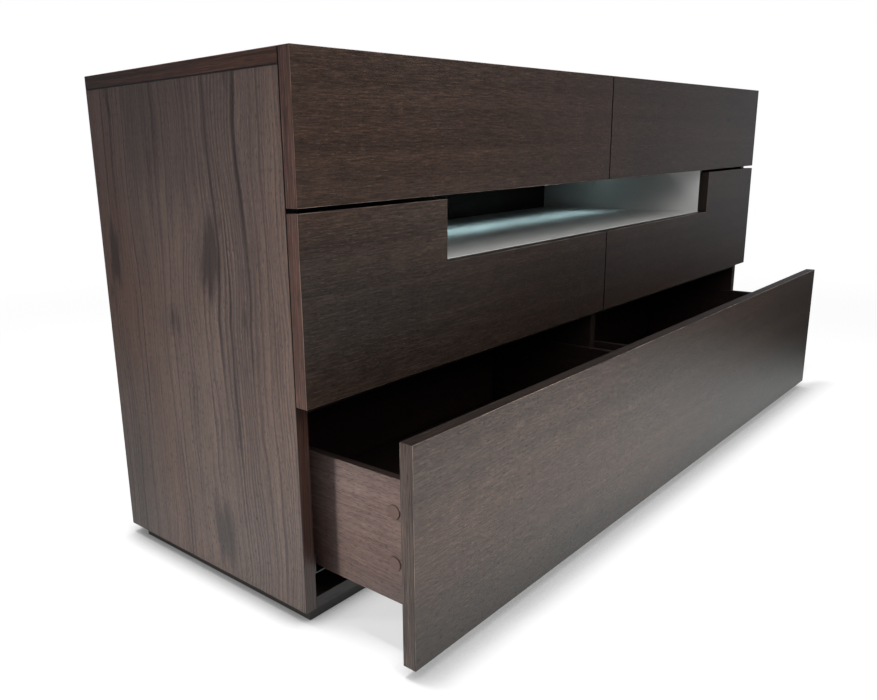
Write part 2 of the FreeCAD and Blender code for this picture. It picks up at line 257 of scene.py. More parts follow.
# The fronts' cut-out edges at the niche: painted shade
CUT_EDGE_SHADE_TONES = (
    (0.0, (0.004, 0.003, 0.002)),
    (0.5, (0.018, 0.011, 0.008)),
    (1.0, (0.050, 0.030, 0.020)),
)
DRAWER_TONES = (
    (0.0, (0.034, 0.015, 0.011)),
    (0.5, (0.156, 0.100, 0.087)),
    (1.0, (0.315, 0.222, 0.190)),
)
# The fronts' top and bottom faces, darkened and greyed as painted shade
RAIL_EDGE_SHADE_TONES = (
    (0.0, (0.008, 0.006, 0.005)),
    (0.5, (0.034, 0.024, 0.020)),
    (1.0, (0.100, 0.070, 0.055)),
)
# The long front's top and bottom faces, darkened further as painted shade
LONG_RAIL_EDGE_SHADE_TONES = (
    (0.0, (0.004, 0.003, 0.003)),
    (0.5, (0.014, 0.011, 0.010)),
    (1.0, (0.050, 0.038, 0.032)),
)
TOP_TONES = (
    (0.0, (0.014, 0.009, 0.008)),
    (0.45, (0.064, 0.040, 0.033)),
    (1.0, (0.190, 0.120, 0.094)),
)
# Tones of the inner boards, the back and the drawers' insides: a dark stain, darkened further as painted
# shade of the chest's inside
INNER_TONES = (
    (0.0, (0.006, 0.005, 0.004)),
    (0.5, (0.018, 0.011, 0.009)),
    (1.0, (0.045, 0.028, 0.021)),
)
BEECH_TONES = (
    (0.0, (0.30, 0.19, 0.11)),
    (0.5, (0.46, 0.31, 0.19)),
    (1.0, (0.60, 0.43, 0.29)),
)
STAIN_DRIFT = ((0.0, (0.86, 0.94, 0.97)), (1.0, (1.0, 0.91, 0.87)))
# Colour of the painted shade in the joints and on the arrises next to them
JOINT_SHADE = (0.003, 0.002, 0.002, 1.0)
# Lighter tone of the worn arrises: partly bare wood, partly a painted highlight
WORN_OAK_HIGHLIGHT = (0.42, 0.31, 0.25, 1.0)
# Near-black painted shade on the niche walls' edges behind the fronts
PAINTED_EDGE_SHADE = (0.015, 0.010, 0.009, 1.0)
MILKY = (0.85, 0.88, 0.88, 1.0)

# Knots and smudges in the veneer, and wide dark patches that are painted shade: place along and across the
# grain and half sizes in metres, and strength; then how ragged their edges are, and how they fade out
Patch = namedtuple("Patch", "along across half_length half_width strength")
FRONT_KNOTS_AND_PAINTED_SHADE = (
    Patch(0.440, 0.126, 0.016, 0.006, 0.74),
    Patch(0.476, 0.098, 0.014, 0.005, 0.74),
    Patch(0.599, 0.681, 0.012, 0.004, 0.74),
    # Wide dark patches over the middle of the second and first rows of fronts: painted shade
    Patch(0.0, 0.37, 0.65, 0.17, 0.30),
    Patch(-0.05, 0.66, 0.50, 0.17, 0.20),
)
SIDE_SMUDGES_AND_PAINTED_SHADE = (
    Patch(0.498, -0.042, 0.075, 0.026, 0.74),
    Patch(0.486, 0.195, 0.065, 0.022, 0.72),
    Patch(0.085, -0.029, 0.070, 0.020, 0.70),
    # Wide dark patch at the side's top: painted shade
    Patch(0.690, 0.03, 0.16, 0.15, 0.30),
)
# Darker towards the bottom of the long drawer's sides: painted shade
DRAWER_PAINTED_SHADE = (Patch(-0.25, 0.070, 0.45, 0.10, 0.30),)
PATCH_RAG = 1.6
PATCH_FADE = (0.40, 1.0)

# Distances from the chest's middle, in metres: ends of the fronts beyond the first have a lipping, and
# nearer ones are cut-out edges, in painted shade. Faces of the drawer sides beyond the second are their
# outsides, and faces of the side panels nearer than the third are their insides.
LIPPED_FROM = 0.6
OUTSIDE_FROM = 0.760
LINED_TO = 0.790
ANY_DISTANCE = 10.0

# Faces of a board with tones of their own: the axis they face, their least and greatest distance from the
# chest's middle, and the tones
Zone = namedtuple("Zone", "face nearest furthest tones")
SIDE_ZONES = (
    Zone("Y", 0.0, ANY_DISTANCE, SIDE_EDGE_TONES),
    Zone("X", 0.0, LINED_TO, INNER_TONES),
)
TOP_ZONES = (Zone("X", 0.0, ANY_DISTANCE, TOP_EDGE_TONES),)
FRONT_ZONES = (
    Zone("X", LIPPED_FROM, ANY_DISTANCE, LIPPING_TONES),
    Zone("X", 0.0, LIPPED_FROM, CUT_EDGE_SHADE_TONES),
    Zone("Z", 0.0, ANY_DISTANCE, RAIL_EDGE_SHADE_TONES),
)
LONG_FRONT_ZONES = (
    Zone("X", 0.0, ANY_DISTANCE, LONG_LIPPING_TONES),
    Zone("Z", 0.0, ANY_DISTANCE, LONG_RAIL_EDGE_SHADE_TONES),
)
DRAWER_ZONES = (Zone("X", OUTSIDE_FROM, ANY_DISTANCE, DRAWER_TONES),)

# Arrises, by the axis and sign that they lean towards; those at joints get painted shade, and the worn ones
# lighter bare wood that is also a painted highlight
SIDE_JOINTS = (("Z", 1.0), ("Y", -1.0))
TOP_JOINTS = (("Z", -1.0), ("Y", -1.0))
TOP_WEAR_HIGHLIGHT = (("Z", 1.0),)
FRONT_JOINTS = (("Y", 1.0),)
FRONT_WEAR_HIGHLIGHT = (("Y", -1.0),)

# Joint between the top and the sides, and half the width of the painted shadow line along it, in metres
TOP_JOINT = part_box("top_panel")[0].z
JOINT_SHADOW_WIDTH = 0.0014
JOINT_SHADOW_FADE = (JOINT_SHADOW_WIDTH * 0.6, JOINT_SHADOW_WIDTH, 1.0, 0.0)

# Distance from the chest's middle within which a front's arris stays sharp and dark, in metres
SEAM_CLEAR = 0.005
SEAM_FADE = (SEAM_CLEAR, SEAM_CLEAR * 10)

# Finishes of the nodes, by a node's whole name or by its ending
FINISH_BY_NAME = {
    "top_panel": "top",
    "left_side_panel": "side",
    "right_side_panel": "side",
    "back_panel": "back",
    "bottom_drawer_front": "long_front",
    "plinth_frame": "plinth",
    "niche_floor": "niche",
    "niche_side_walls": "niche_wall",
    "carcass_dowels": "dowel",
    "led_channel": "channel",
    "led_tape": "tape",
    "led_diffuser": "lens",
    "led_driver": "driver",
    "cable_grommet": "grommet",
    "runner_rails": "rail",
}
FINISH_BY_ENDING = {
    "_front": "front",
    "_side": "drawer",
    "_sides": "drawer",
    "_back": "drawer_back",
    "_backs": "drawer_back",
    "_bottom": "tray",
    "_bottoms": "tray",
    "_cam_locks": "cap",
    "_slides": "steel",
    "_carriers": "steel",
    "_shelf": "shelf",
    "bottom_panel": "shelf",
    "_partition": "inner",
}


# Shader helpers
class Nodes:
    """A node tree, with short calls for the nodes that the finishes and the surroundings use."""

    def __init__(self, tree):
        self.tree = tree

    def node(self, kind, **settings):
        """A new node with its settings."""
        made = self.tree.nodes.new(kind)
        for key, value in settings.items():
            setattr(made, key, value)
        return made

    def feed(self, socket, value):
        """Gives an input a value or another node's output."""
        if isinstance(value, bpy.types.NodeSocket):
            self.tree.links.new(value, socket)
        else:
            socket.default_value = value

    def math(self, operation, *values, clamp=False):
        """A sum on numbers."""
        made = self.node("ShaderNodeMath", operation=operation, use_clamp=clamp)
        for socket, value in zip(made.inputs, values):
            self.feed(socket, value)
        return made.outputs[0]

    def mix(self, share, first, second):
        """A number between two others."""
        made = self.node("ShaderNodeMix", data_type="FLOAT")
        self.feed(made.inputs[MIX_SHARE], share)
        for socket, value in zip(MIX_NUMBERS, (first, second)):
            self.feed(made.inputs[socket], value)
        return made.outputs[0]

    def tint(self, share, first, second, blend="MIX"):
        """A colour between two others."""
        made = self.node("ShaderNodeMix", data_type="RGBA", blend_type=blend)
        self.feed(made.inputs[MIX_SHARE], share)
        for socket, value in zip(MIX_COLOURS, (first, second)):
            self.feed(made.inputs[socket], value)
        return made.outputs[MIXED_COLOUR]

    def vector(self, x, y, z):
        """A vector from its three parts."""
        made = self.node("ShaderNodeCombineXYZ")
        for socket, value in zip(made.inputs, (x, y, z)):
            self.feed(socket, value)
        return made.outputs[0]

    def axes(self, source):
        """A vector's three parts, by axis."""
        made = self.node("ShaderNodeSeparateXYZ")
        self.feed(made.inputs[0], source)
        return dict(zip("XYZ", made.outputs))

    def coordinates(self, kind):
        """The piece's own coordinates: a spot's place or its normal."""
        return self.node("ShaderNodeTexCoord").outputs[kind]

    def noise(self, place, scale=1.0, detail=2.0, roughness=0.5):
        """Cloudy noise, from nought to one."""
        made = self.node("ShaderNodeTexNoise")
        self.feed(made.inputs["Vector"], place)
        made.inputs["Scale"].default_value = scale
        made.inputs["Detail"].default_value = detail
        made.inputs["Roughness"].default_value = roughness
        return made.outputs["Fac"]

    def ramp(self, value, stops):
        """A colour from a ramp of stops."""
        made = self.node("ShaderNodeValToRGB")
        elements = made.color_ramp.elements
        while len(elements) < len(stops):
            elements.new(NEW_STOP)
        for element, (place, tone) in zip(elements, stops):
            element.position = place
            element.color = (*tone, 1.0)
        self.feed(made.inputs[0], value)
        return made.outputs[0]

    def level(self, value, low, high, out_low=0.0, out_high=1.0):
        """A smooth fade between two ends."""
        made = self.node("ShaderNodeMapRange", interpolation_type="SMOOTHSTEP")
        for socket, number in zip(made.inputs, (value, low, high, out_low, out_high)):
            self.feed(socket, number)
        return made.outputs[0]


class Shader(Nodes):
    """A new material with its surface."""

    def __init__(self, name):
        self.material = bpy.data.materials.new(name)
        self.material.use_nodes = True
        super().__init__(self.material.node_tree)
        self.surface = self.tree.nodes["Principled BSDF"]
        self.output = self.tree.nodes["Material Output"]

    def bump(self, height, strength, distance):
        """Gives the surface a fine relief."""
        made = self.node("ShaderNodeBump")
        made.inputs["Strength"].default_value = strength
        made.inputs["Distance"].default_value = distance
        self.feed(made.inputs["Height"], height)
        self.feed(self.surface.inputs["Normal"], made.outputs[0])

    def set(self, **sockets):
        """Feeds the surface's inputs, named in small letters."""
        for name, value in sockets.items():
            self.feed(self.surface.inputs[name.replace("_", " ").title()], value)


def weighed(shader, *layers):
    """Sum of layers, each times its weight."""
    total = None
    for layer, weight in layers:
        part = shader.math("MULTIPLY", layer, weight)
        total = part if total is None else shader.math("ADD", total, part)
    return total


def highest(nodes, values):
    """The greatest of several values."""
    top = values[0]
    for value in values[1:]:
        top = nodes.math("MAXIMUM", top, value)
    return top


def swung(shader, pattern, swing, base):
    """A value that swings with a pattern, above its base."""
    return shader.math("ADD", shader.math("MULTIPLY", pattern, swing), base)


def shaded(shader, share, tone, darkest, lightest=1.0):
    """A tone between a darker and a lighter strength of itself."""
    dark = (*[part * darkest for part in tone], 1.0)
    light = (*[part * lightest for part in tone], 1.0)
    return shader.tint(share, dark, light)


def openness(shader, reach, fade):
    """Fades in from where another surface is near to where none is within reach."""
    near = shader.node("ShaderNodeAmbientOcclusion", samples=NEAR_SAMPLES)
    near.inputs["Distance"].default_value = reach
    return shader.level(near.outputs["AO"], *fade)


# Stained oak
Board = namedtuple("Board", "along across spot facing turned")


def grain_axes(shader, directions):
    """A board's distances along and across its grain, a spot's place and normal, and masks of its faces."""
    spot = shader.axes(shader.coordinates("Object"))
    facing = shader.axes(shader.coordinates("Normal"))
    main = next(iter(directions))
    along, across = (spot[axis] for axis in directions[main])
    turned = {}
    for face, (along_axis, across_axis) in directions.items():
        turned[face] = shader.math("GREATER_THAN", shader.math("ABSOLUTE", facing[face]), SQUARE_FACE)
        if face != main:
            drawn = shader.math("MULTIPLY", spot[along_axis], EDGE_DRAW)
            along = shader.mix(turned[face], along, drawn)
            across = shader.mix(turned[face], across, spot[across_axis])
    return Board(along, across, spot, facing, turned)


def stretched(shader, along, across, layer):
    """Noise drawn out along the grain, between minus and plus a half, or faded as the layer says."""
    place = shader.vector(
        shader.math("MULTIPLY", along, layer.along), shader.math("MULTIPLY", across, layer.across), layer.seed
    )
    noise = shader.noise(place, detail=layer.detail, roughness=layer.roughness)
    centred = shader.math("SUBTRACT", noise, NOISE_MIDDLE)
    return shader.level(centred, *layer.fade) if layer.fade else centred


def arrises(shader, facing, leanings):
    """One on the rounded arrises of a board that lean towards any of some axes, each with its sign."""
    squareness = highest(shader, [shader.math("ABSOLUTE", facing[axis]) for axis in "XYZ"])
    rounded = shader.level(squareness, *ARRIS_FADE)
    leant = []
    for axis, sign in leanings:
        leant.append(shader.level(shader.math("MULTIPLY", facing[axis], sign), *LEAN_FADE))
    return shader.math("MULTIPLY", rounded, highest(shader, leant))


def patches(shader, along, across, marks, ragged):
    """Each patch's strength at its heart, falling to nought at its ragged edge."""
    hearts = []
    for patch in marks:
        run = shader.math("DIVIDE", shader.math("SUBTRACT", along, patch.along), patch.half_length)
        rise = shader.math("DIVIDE", shader.math("SUBTRACT", across, patch.across), patch.half_width)
        reach = shader.node("ShaderNodeVectorMath", operation="LENGTH")
        shader.feed(reach.inputs[0], shader.vector(run, rise, 0.0))
        edge = shader.math("ADD", reach.outputs["Value"], shader.math("MULTIPLY", ragged, PATCH_RAG))
        hearts.append(shader.level(edge, *PATCH_FADE, patch.strength, 0.0))
    return highest(shader, hearts)


def oak_layers(shader, board, figure):
    """The veneer's layers by name, and the distance across its bent grain."""
    along = board.along
    across = board.across
    sway = stretched(shader, along, across, SWAY)
    wander = stretched(shader, along, across, WANDER)
    sway_bend = SWAY_BEND * figure + SWAY_LEAST
    wander_bend = WANDER_BEND * figure + WANDER_LEAST
    bent = shader.math("ADD", across, weighed(shader, (sway, sway_bend), (wander, wander_bend)))

    spacing = stretched(shader, along, bent, RING_SPACING)
    rings = weighed(shader, (bent, RINGS_PER_METRE), (spacing, RING_CROWDING))
    late = shader.level(shader.math("FRACT", rings), *LATE_FADE)
    vigour = stretched(shader, along, bent, RING_VIGOUR)
    streaks = STREAKS._replace(along=STREAKS.along - STREAK_DRAW * figure)
    return {
        "bent": bent,
        "late": shader.math("MULTIPLY", late, vigour),
        "heavy": stretched(shader, along, bent, HEAVY_RINGS),
        "streak": stretched(shader, along, bent, streaks),
        "pores": stretched(shader, along, bent, PORES),
        "flecks": stretched(shader, along, bent, FLECKS),
        "smoke": stretched(shader, along, across, SMOKE),
        "cloud": stretched(shader, along, across, CLOUD),
        "band": stretched(shader, along, bent, BANDS),
    }


def oak_shade(shader, layers, figure, streaks):
    """How light the veneer is, from nought to one."""
    shade = weighed(
        shader,
        (layers["late"], LATE_WEIGHT * figure),
        (layers["heavy"], HEAVY_WEIGHT * figure),
        (layers["smoke"], SMOKE_WEIGHT * figure),
        (layers["pores"], PORE_WEIGHT),
        (layers["flecks"], FLECK_WEIGHT * streaks),
        (layers["streak"], STREAK_WEIGHT * streaks),
        (layers["cloud"], CLOUD_WEIGHT),
        (layers["band"], BAND_WEIGHT),
    )
    return shader.math("ADD", shade, MIDDLE_SHADE + FIGURE_LIFT * figure, clamp=True)


def stained(shader, board, shade, tones, zones):
    """The stain's colour, with the tones of the zones, drifting a little over the board."""
    colour = shader.ramp(shade, tones)
    distance = shader.math("ABSOLUTE", board.spot["X"])
    for zone in zones:
        beyond = shader.math("GREATER_THAN", distance, zone.nearest)
        within = shader.math("LESS_THAN", distance, zone.furthest)
        inside = shader.math("MULTIPLY", board.turned[zone.face], shader.math("MULTIPLY", beyond, within))
        colour = shader.tint(inside, colour, shader.ramp(shade, zone.tones))
    drift = stretched(shader, board.along, board.across, DRIFT)
    return shader.tint(1.0, colour, shader.ramp(drift, STAIN_DRIFT), blend="MULTIPLY")


def worn_highlit_arrises(shader, board, colour, leanings):
    """Thin bare wood along the arrises, lighter also as a painted highlight, but not next to the seam between
    the fronts.
    """
    thin = stretched(shader, board.along, board.across, WEAR_HIGHLIGHT_BREAKS)
    away = shader.level(shader.math("ABSOLUTE", board.spot["X"]), *SEAM_FADE)
    bare = shader.math("MULTIPLY", thin, away)
    worn_and_lit = shader.math("MULTIPLY", arrises(shader, board.facing, leanings), bare)
    return shader.tint(worn_and_lit, colour, WORN_OAK_HIGHLIGHT)


def joint_shadow_line(shader, board, colour, joint):
    """A painted shadow line along a level joint."""
    height = shader.math("ABSOLUTE", shader.math("SUBTRACT", board.spot["Z"], joint))
    return shader.tint(shader.level(height, *JOINT_SHADOW_FADE), colour, JOINT_SHADE)


def oak(
    name, directions, tones, figure, streaks, roughness, zones=(), worn_highlit=(), shaded_arrises=(), marks=(), shadow_line_height=None
):
    """Stained oak veneer: growth lines, smoky blotches, streaks and open pores along the grain."""
    shader = Shader(name)
    board = grain_axes(shader, directions)
    layers = oak_layers(shader, board, figure)
    shade = oak_shade(shader, layers, figure, streaks)
    colour = stained(shader, board, shade, tones, zones)
    # Knots and smudges, and wide dark patches that are painted shade
    if marks:
        ragged = stretched(shader, board.along, layers["bent"], RAGGED)
        smudge_and_shade = patches(shader, board.along, layers["bent"], marks, ragged)
        darkest = tones[0][1]
        colour = shader.tint(smudge_and_shade, colour, (*darkest, 1.0))
    if worn_highlit:
        # Worn arrises, lighter as bare wood and as a painted highlight
        colour = worn_highlit_arrises(shader, board, colour, worn_highlit)
    # Painted shade on the arrises at the joints, a painted shadow line along the top's joint, and painted
    # shade wherever another surface is near
    if shaded_arrises:
        colour = shader.tint(arrises(shader, board.facing, shaded_arrises), colour, JOINT_SHADE)
    if shadow_line_height:
        colour = joint_shadow_line(shader, board, colour, shadow_line_height)
    colour = shader.tint(openness(shader, JOINT_REACH, JOINT_FADE), JOINT_SHADE, colour)
    unevenness = weighed(shader, (layers["streak"], STREAK_ROUGHNESS), (layers["pores"], PORE_ROUGHNESS))
    shader.set(base_color=colour, roughness=shader.math("ADD", unevenness, roughness))
    relief = weighed(
        shader,
        (layers["streak"], STREAK_RISE),
        (layers["pores"], PORE_RISE),
        (layers["late"], LATE_RISE * figure),
    )
    shader.bump(relief, strength=0.45, distance=0.0005)
    return shader.material


# Other finishes
def lacquer(name, tone, roughness, shaded_edge=None):
    """Sprayed satin lacquer with a faint orange peel; the edge that a front covers may get painted shade."""
    shader = Shader(name)
    place = shader.coordinates("Object")
    peel = shader.noise(place, scale=420.0, detail=2.0)
    cloud = shader.noise(place, scale=6.0, detail=3.0)
    colour = shaded(shader, cloud, tone, darkest=0.96)
    if shaded_edge:
        # Painted shade on the edge that a front covers
        facing = shader.math("ABSOLUTE", shader.axes(shader.coordinates("Normal"))[shaded_edge])
        colour = shader.tint(shader.math("GREATER_THAN", facing, COVERED_EDGE), colour, PAINTED_EDGE_SHADE)
    shader.set(base_color=colour, roughness=swung(shader, cloud, swing=0.08, base=roughness))
    shader.bump(peel, strength=0.06, distance=0.0002)
    return shader.material


def painted_board(name, tone):
    """Board with a matt dark paint that shows a little of its fibre."""
    shader = Shader(name)
    place = shader.coordinates("Object")
    fibre = shader.noise(place, scale=300.0, detail=4.0)
    cloud = shader.noise(place, scale=9.0, detail=3.0)
    shade = shader.mix(share=0.5, first=fibre, second=cloud)
    colour = shaded(shader, shade, tone, darkest=0.75, lightest=1.25)
    shader.set(base_color=colour, roughness=swung(shader, fibre, swing=0.2, base=0.5))
    shader.bump(fibre, strength=0.15, distance=0.0003)
    return shader.material


def metal(name, tone, roughness, along):
    """Rolled or drawn metal, with fine lines along its length."""
    shader = Shader(name)
    spot = shader.axes(shader.coordinates("Object"))
    rates = {axis: LINES_ALONG if axis == along else LINES_ACROSS for axis in "XYZ"}
    scaled = [shader.math("MULTIPLY", spot[axis], rate) for axis, rate in rates.items()]
    lines = shader.noise(shader.vector(*scaled), detail=3.0)
    colour = shaded(shader, lines, tone, darkest=0.8)
    shader.set(base_color=colour, roughness=swung(shader, lines, swing=0.2, base=roughness), metallic=1.0)
    shader.bump(lines, strength=0.08, distance=0.0001)
    return shader.material


def plastic(name, tone, roughness):
    """Moulded plastic with a fine spark-eroded texture."""
    shader = Shader(name)
    place = shader.coordinates("Object")
    texture = shader.noise(place, scale=1800.0, detail=2.0)
    cloud = shader.noise(place, scale=40.0, detail=2.0)
    colour = shaded(shader, cloud, tone, darkest=0.88)
    shader.set(base_color=colour, roughness=swung(shader, texture, swing=0.15, base=roughness))
    shader.bump(texture, strength=0.12, distance=0.0001)
    return shader.material


def glowing_lens(name, tone, power):
    """Milky diffuser lit from behind, a little brighter over each chip of the tape."""
    shader = Shader(name)
    spot = shader.axes(shader.coordinates("Object"))
    chips = shader.math("SINE", shader.math("MULTIPLY", spot["X"], math.tau / CHIP_PITCH))
    glow = swung(shader, chips, swing=0.12, base=0.88)
    colour = shaded(shader, glow, tone, darkest=0.7)
    shader.set(base_color=MILKY, roughness=0.45, emission_color=colour, emission_strength=power)
    return shader.material


def finishes():
    """Every finish of the chest, by name."""
    front = {
        "directions": FRONT_GRAIN,
        "tones": FRONT_TONES,
        "figure": 0.10,
        "streaks": 1.1,
        "roughness": 0.38,
        "worn_highlit": FRONT_WEAR_HIGHLIGHT,
        "shaded_arrises": FRONT_JOINTS,
        "marks": FRONT_KNOTS_AND_PAINTED_SHADE,
    }
    plain = {"tones": INNER_TONES, "figure": 0.5, "streaks": 0.6, "roughness": 0.5}
    return {
        "side": oak(
            "side_oak", UPRIGHT_GRAIN, SIDE_TONES, figure=1.3, streaks=0.75, roughness=0.40, zones=SIDE_ZONES,
            shaded_arrises=SIDE_JOINTS, marks=SIDE_SMUDGES_AND_PAINTED_SHADE, shadow_line_height=TOP_JOINT
        ),
        "top": oak(
            "top_oak", TOP_GRAIN, TOP_TONES, figure=0.8, streaks=0.8, roughness=0.40, zones=TOP_ZONES,
            worn_highlit=TOP_WEAR_HIGHLIGHT, shaded_arrises=TOP_JOINTS, shadow_line_height=TOP_JOINT
        ),
        "front": oak("front_oak", zones=FRONT_ZONES, **front),
        "long_front": oak("long_front_oak", zones=LONG_FRONT_ZONES, **front),
        "drawer": oak(
            "drawer_oak", DRAWER_SIDE_GRAIN, INNER_TONES, figure=0.4, streaks=0.8, roughness=0.45,
            zones=DRAWER_ZONES, marks=DRAWER_PAINTED_SHADE
        ),
        "drawer_back": oak(
            "drawer_back_oak", FRONT_GRAIN, INNER_TONES, figure=0.4, streaks=0.9, roughness=0.45
        ),
        "inner": oak("inner_oak", UPRIGHT_GRAIN, **plain),
        "shelf": oak("shelf_oak", TOP_GRAIN, **plain),
        "back": oak("back_oak", FRONT_GRAIN, **plain),
        "dowel": oak("beech_dowel", DRAWER_SIDE_GRAIN, BEECH_TONES, figure=0.2, streaks=0.5, roughness=0.6),
        "tray": painted_board("drawer_bottom_board", (0.020, 0.013, 0.011)),
        "plinth": painted_board("plinth_paint", (0.020, 0.017, 0.015)),
        "niche": lacquer("niche_lacquer", (0.88, 0.875, 0.84), roughness=0.30),
        "niche_wall": lacquer("niche_wall_lacquer", (0.83, 0.82, 0.81), roughness=0.28, shaded_edge="Y"),
        "channel": metal("drawn_aluminium", (0.72, 0.73, 0.75), roughness=0.25, along="X"),
        "rail": metal("dark_zinc_steel", (0.10, 0.10, 0.105), roughness=0.35, along="Y"),
        "steel": metal("zinc_steel", (0.62, 0.63, 0.65), roughness=0.28, along="Y"),
        "tape": plastic("tape_board", (0.80, 0.80, 0.76), roughness=0.45),
        "lens": glowing_lens("lit_lens", (0.75, 0.95, 1.0), power=0.5),
        "driver": plastic("driver_case", (0.62, 0.63, 0.64), roughness=0.5),
        "grommet": plastic("black_grommet", (0.02, 0.02, 0.02), roughness=0.4),
        "cap": plastic("brown_cap", (0.140, 0.086, 0.073), roughness=0.45),
        "bumper": plastic("felt_grey_bumper", (0.22, 0.21, 0.20), roughness=0.6),
    }


def finish_of(node):
    """The finish that a CAD node gets."""
    if node in FINISH_BY_NAME:
        return FINISH_BY_NAME[node]
    return next(finish for ending, finish in FINISH_BY_ENDING.items() if node.endswith(ending))


def dress_nodes(looks):
    """Gives every CAD node its finish."""
    for name, node in NODES.items():
        node.data.materials.clear()
        node.data.materials.append(looks[finish_of(name)])


# Small fittings, each modelled once and copied
def pick_faces(piece, least_rise):
    """Leaves edit mode open with only the faces selected whose normals rise at least that far."""
    bpy.ops.object.mode_set(mode="EDIT")
    bpy.ops.mesh.select_mode(type="FACE")
    bpy.ops.mesh.select_all(action="DESELECT")
    bpy.ops.object.mode_set(mode="OBJECT")
    for face in piece.data.polygons:
        face.select = face.normal.z > least_rise
    bpy.ops.object.mode_set(mode="EDIT")


def round_blank(name, radius, height, rounding, steps=RIM_STEPS):
    """A round blank that stands on the origin, with its upper rim rounded."""
    bpy.ops.object.select_all(action="DESELECT")
    bpy.ops.mesh.primitive_cylinder_add(
        vertices=BLANK_SIDES, radius=radius, depth=height, location=(0.0, 0.0, height / 2)
    )
    bpy.ops.object.transform_apply(location=True, rotation=False, scale=False)
    blank = bpy.context.object
    blank.name = name
    pick_faces(blank, LOOKS_UP)
    bpy.ops.mesh.bevel(offset=rounding, segments=steps, profile=RIM_PROFILE)
    bpy.ops.object.mode_set(mode="OBJECT")
    return blank


def smooth():
    """Smooths the selected fitting's faces, but not its sharp edges."""
    bpy.ops.object.shade_smooth_by_angle(angle=math.radians(SMOOTH_ANGLE))


def cam_cap():
    """Cover cap of a cam lock: a rounded rim with a shallow dish inside it."""
    cap = round_blank("cam_cap", CAP_RADIUS, CAP_HEIGHT, CAP_ROUNDING)
    pick_faces(cap, LIES_FLAT)
    bpy.ops.mesh.inset(thickness=CAP_RIM, depth=-CAP_RIM_DROP)
    bpy.ops.mesh.inset(thickness=CAP_DISH, depth=-CAP_DISH_DROP)
    bpy.ops.object.mode_set(mode="OBJECT")
    smooth()
    return cap


def bumper():
    """Soft round pad that quietens a closing front."""
    pad = round_blank("bumper", BUMPER_RADIUS, BUMPER_HEIGHT, BUMPER_ROUNDING, BUMPER_STEPS)
    smooth()
    return pad


def runner_screw():
    """Pan-head screw with a cross recess."""
    screw = round_blank("runner_screw", SCREW_RADIUS, SCREW_HEIGHT, SCREW_ROUNDING)
    for turn in (0.0, QUARTER_TURN):
        bpy.ops.object.select_all(action="DESELECT")
        bpy.ops.mesh.primitive_cube_add(
            size=1.0, location=(0.0, 0.0, SCREW_HEIGHT), rotation=(0.0, 0.0, turn)
        )
        blade = bpy.context.object
        blade.scale = RECESS_BLADE
        bpy.context.view_layer.objects.active = screw
        recess = screw.modifiers.new("cross", "BOOLEAN")
        recess.object = blade
        recess.operation = "DIFFERENCE"
        bpy.ops.object.modifier_apply(modifier="cross")
        bpy.data.objects.remove(blade, do_unlink=True)
    bpy.ops.object.select_all(action="DESELECT")
    screw.select_set(True)
    smooth()
    return screw


def turned_to(axis, sign):
    """Turn that makes an upward-facing fitting face along an axis."""
    if axis == "X":
        return Matrix.Rotation(QUARTER_TURN * sign, 4, "Y")
    return Matrix.Rotation(-QUARTER_TURN * sign, 4, "X")


def set_of(master, name, body, finish, spots):
    """Copies of a fitting at their places, joined into one piece that rides on a body."""
    bpy.ops.object.select_all(action="DESELECT")
    copies = []
    for place, turn in spots:
        copy = bpy.data.objects.new(name, master.data.copy())
        bpy.context.scene.collection.objects.link(copy)
        copy.data.transform(Matrix.Translation(place) @ turn)
        copy.select_set(True)
        copies.append(copy)
    bpy.context.view_layer.objects.active = copies[0]
    bpy.ops.object.join()
    piece = bpy.context.object
    piece.name = name
    piece.data.materials.clear()
    piece.data.materials.append(finish)
    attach(piece, body)


def drawer_cam_caps(looks):
    """Caps on the outsides of the drawer boxes, over their cam locks; the long drawer has both boxes."""
    cap = cam_cap()
    inner_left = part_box("top_left_drawer_right_side")[1].x
    inner_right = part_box("top_right_drawer_left_side")[0].x
    outer_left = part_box("top_left_drawer_left_side")[0].x
    outer_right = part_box("top_right_drawer_right_side")[1].x
    left_box = ((outer_left, -1), (inner_left, 1))
    right_box = ((inner_right, -1), (outer_right, 1))
    boxes = {"left": left_box, "right": right_box}
    for drawer in DRAWERS:
        hand = drawer.split("_")[1]
        low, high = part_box(drawer + "_cam_locks")
        reach = high.y - CAM_RADIUS
        spots = []
        for outside, sign in boxes.get(hand, left_box + right_box):
            for height in (low.z + CAM_RADIUS, high.z - CAM_RADIUS):
                spots.append((Vector((outside, reach, height)), turned_to("X", sign)))
        set_of(cap, drawer + "_cam_caps", drawer, looks["cap"], spots)
    bpy.data.objects.remove(cap, do_unlink=True)


def front_bumpers(looks):
    """Pads behind the corners of each front, where it meets the carcass."""
    pad = bumper()
    inside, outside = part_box("right_side_panel")
    side_edge = (inside.x + outside.x) / 2
    middle_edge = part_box("upper_partition")[1].x * BUMPER_ON_PARTITION
    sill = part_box("niche_floor")[0].z
    for drawer in DRAWERS:
        low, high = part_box(drawer + "_front")
        top = high.z - BUMPER_INSET
        bottom = low.z + BUMPER_INSET
        ends = [(-side_edge, top), (-side_edge, bottom), (side_edge, top), (side_edge, bottom)]
        inner_top = min(top, sill - BUMPER_INSET) if drawer.startswith("middle") else top
        if "_left_" in drawer:
            ends = ends[:2] + [(-middle_edge, inner_top), (-middle_edge, bottom)]
        elif "_right_" in drawer:
            ends = ends[2:] + [(middle_edge, inner_top), (middle_edge, bottom)]
        spots = [(Vector((across, high.y, height)), turned_to("Y", 1)) for across, height in ends]
        set_of(pad, drawer + "_bumpers", drawer, looks["bumper"], spots)
    bpy.data.objects.remove(pad, do_unlink=True)


